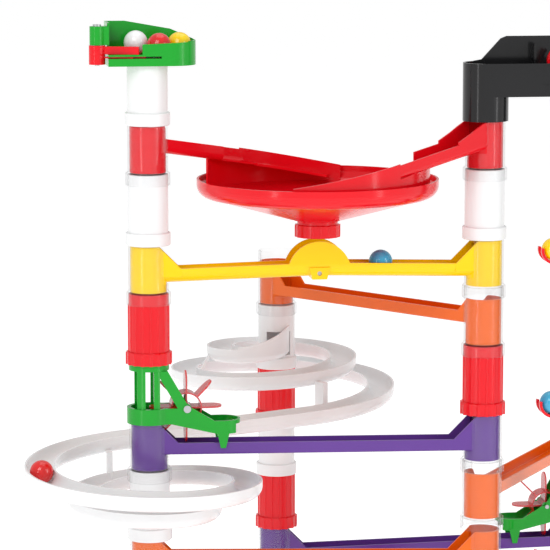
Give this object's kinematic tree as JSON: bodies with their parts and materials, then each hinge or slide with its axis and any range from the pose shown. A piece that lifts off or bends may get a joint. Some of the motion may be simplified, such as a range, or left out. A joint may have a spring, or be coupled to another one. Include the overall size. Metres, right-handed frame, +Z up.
{
  "type": "marble run",
  "caption": "Toy marble run: colour tubes stacked into towers, joined by ramps, a funnel, a double spiral, paddle wheels and a motor lift.",
  "frame": {"origin": "centre of the underside of the front left tower's foot", "axes": "+X along the front row of towers towards the lift, +Y to the back, +Z up"},
  "size_m": [0.461, 0.361, 0.508],
  "materials": {
    "clear_plastic": "clear polished",
    "white_plastic": "glossy",
    "red_plastic": "glossy",
    "black_plastic": "glossy",
    "yellow_plastic": "glossy",
    "orange_plastic": "glossy",
    "purple_plastic": "glossy",
    "green_plastic": "glossy",
    "clear_red_plastic": "clear tinted",
    "steel": "satin",
    "belt_rubber": "matte",
    "white_marble": "polished",
    "red_marble": "polished",
    "yellow_marble": "polished",
    "blue_marble": "polished"
  },
  "bodies": {
    "frame": {"batteries": "steel", "belt": "belt_rubber", "boot_chute": "black_plastic", "clear_tubes_a": "clear_plastic", "clear_tubes_b": "clear_plastic", "clear_tubes_c": "clear_plastic", "clear_tubes_d": "clear_plastic", "flip_pin": "steel", "foot_a": "black_plastic", "foot_b": "black_plastic", "foot_c": "black_plastic", "foot_d": "black_plastic", "funnel": "red_plastic", "gate_pin": "steel", "idler_axle": "steel", "lift_base": "black_plastic", "lift_column": "black_plastic", "lift_head": "black_plastic", "motor": "steel", "motor_box": "black_plastic", "orange_ramp_lower": "orange_plastic", "orange_ramp_right": "orange_plastic", "orange_ramp_upper": "orange_plastic", "purple_ramp_front": "purple_plastic", "purple_ramp_rear": "purple_plastic", "red_tubes_a": "red_plastic", "red_tubes_b": "red_plastic", "red_tubes_c": "red_plastic", "return_ramp": "orange_plastic", "spiral_lower": "white_plastic", "spiral_upper": "white_plastic", "start_tray": "green_plastic", "wheel_axles": "steel", "wheel_bracket_a": "green_plastic", "wheel_bracket_d": "green_plastic", "white_tube_a_top": "white_plastic", "white_tube_b": "white_plastic", "white_tube_c": "white_plastic", "white_tube_d": "white_plastic", "white_tubes_a": "white_plastic", "yellow_double_ramp": "yellow_plastic"},
    "flip_gate": {"flip_gate": "yellow_plastic"},
    "paddle_wheel_a": {"paddle_wheel_a": "clear_red_plastic"},
    "paddle_wheel_d": {"paddle_wheel_d": "clear_red_plastic"},
    "gate_lever": {"gate_lever": "red_plastic"},
    "drive": {"drive_pulley": "black_plastic", "drive_shaft": "steel"},
    "idler": {"idler_pulley": "black_plastic", "carrier_top": "red_plastic"},
    "rising": {"carriers_rising": "red_plastic", "marble_yellow_lift": "yellow_marble", "marble_blue_lift": "blue_marble"},
    "falling": {"carriers_falling": "red_plastic"},
    "switch": {"switch_slider": "black_plastic"},
    "battery_cover": {"battery_cover": "black_plastic"},
    "marble_white": {"marble_white": "white_marble"},
    "marble_red_tray": {"marble_red_tray": "red_marble"},
    "marble_yellow_tray": {"marble_yellow_tray": "yellow_marble"},
    "marble_blue_ramp": {"marble_blue_ramp": "blue_marble"},
    "marble_red_spiral": {"marble_red_spiral": "red_marble"}
  },
  "joints": [
    {"name": "flip", "type": "hinge", "parent": "frame", "child": "flip_gate", "pos_m": [0.114, 0, 0.3397], "axis": [0, -1, 0], "range_deg": [0, 44]},
    {"name": "wheel_a", "type": "hinge", "parent": "frame", "child": "paddle_wheel_a", "pos_m": [0.0244, 0, 0.2502], "axis": [0, 1, 0], "continuous": true},
    {"name": "wheel_d", "type": "hinge", "parent": "frame", "child": "paddle_wheel_d", "pos_m": [0.3176, 0.19745, 0.1302], "axis": [0, -1, 0], "continuous": true},
    {"name": "gate", "type": "hinge", "parent": "frame", "child": "gate_lever", "pos_m": [-0.0337, -0.008, 0.487], "axis": [0, 0, -1], "range_deg": [0, 30]},
    {"name": "drive_turn", "type": "hinge", "parent": "frame", "child": "drive", "pos_m": [0.301, 0, 0.03], "axis": [0, 1, 0], "range_deg": [0, 60]},
    {"name": "idler_turn", "type": "hinge", "parent": "frame", "child": "idler", "pos_m": [0.301, 0, 0.465], "axis": [0, 1, 0], "range_deg": [0, 60.5]},
    {"name": "carriers_up", "type": "slide", "parent": "frame", "child": "rising", "axis": [0, 0, 1], "range_m": [0, 0.016]},
    {"name": "carriers_down", "type": "slide", "parent": "frame", "child": "falling", "axis": [0, 0, 1], "range_m": [-0.016, 0]},
    {"name": "switch", "type": "slide", "parent": "frame", "child": "switch", "axis": [1, 0, 0], "range_m": [0, 0.006]},
    {"name": "cover_off", "type": "slide", "parent": "frame", "child": "battery_cover", "axis": [0, 1, 0], "range_m": [0, 0.04]},
    {"name": "marble_white_lift_out", "type": "slide", "parent": "frame", "child": "marble_white", "axis": [0, 0, 1], "range_m": [0, 0.03]},
    {"name": "marble_red_tray_lift_out", "type": "slide", "parent": "frame", "child": "marble_red_tray", "axis": [0, 0, 1], "range_m": [0, 0.03]},
    {"name": "marble_yellow_tray_lift_out", "type": "slide", "parent": "frame", "child": "marble_yellow_tray", "axis": [0, 0, 1], "range_m": [0, 0.03]},
    {"name": "marble_blue_ramp_lift_out", "type": "slide", "parent": "frame", "child": "marble_blue_ramp", "axis": [0, 0, 1], "range_m": [0, 0.02]},
    {"name": "marble_red_spiral_lift_out", "type": "slide", "parent": "frame", "child": "marble_red_spiral", "axis": [0, 0, 1], "range_m": [0, 0.03]}
  ],
  "couplings": [
    {"joint": "idler_turn", "follows": "drive_turn", "ratio": 1},
    {"joint": "carriers_up", "follows": "drive_turn", "m_per_rad": 0.015},
    {"joint": "carriers_down", "follows": "drive_turn", "m_per_rad": -0.015}
  ]
}
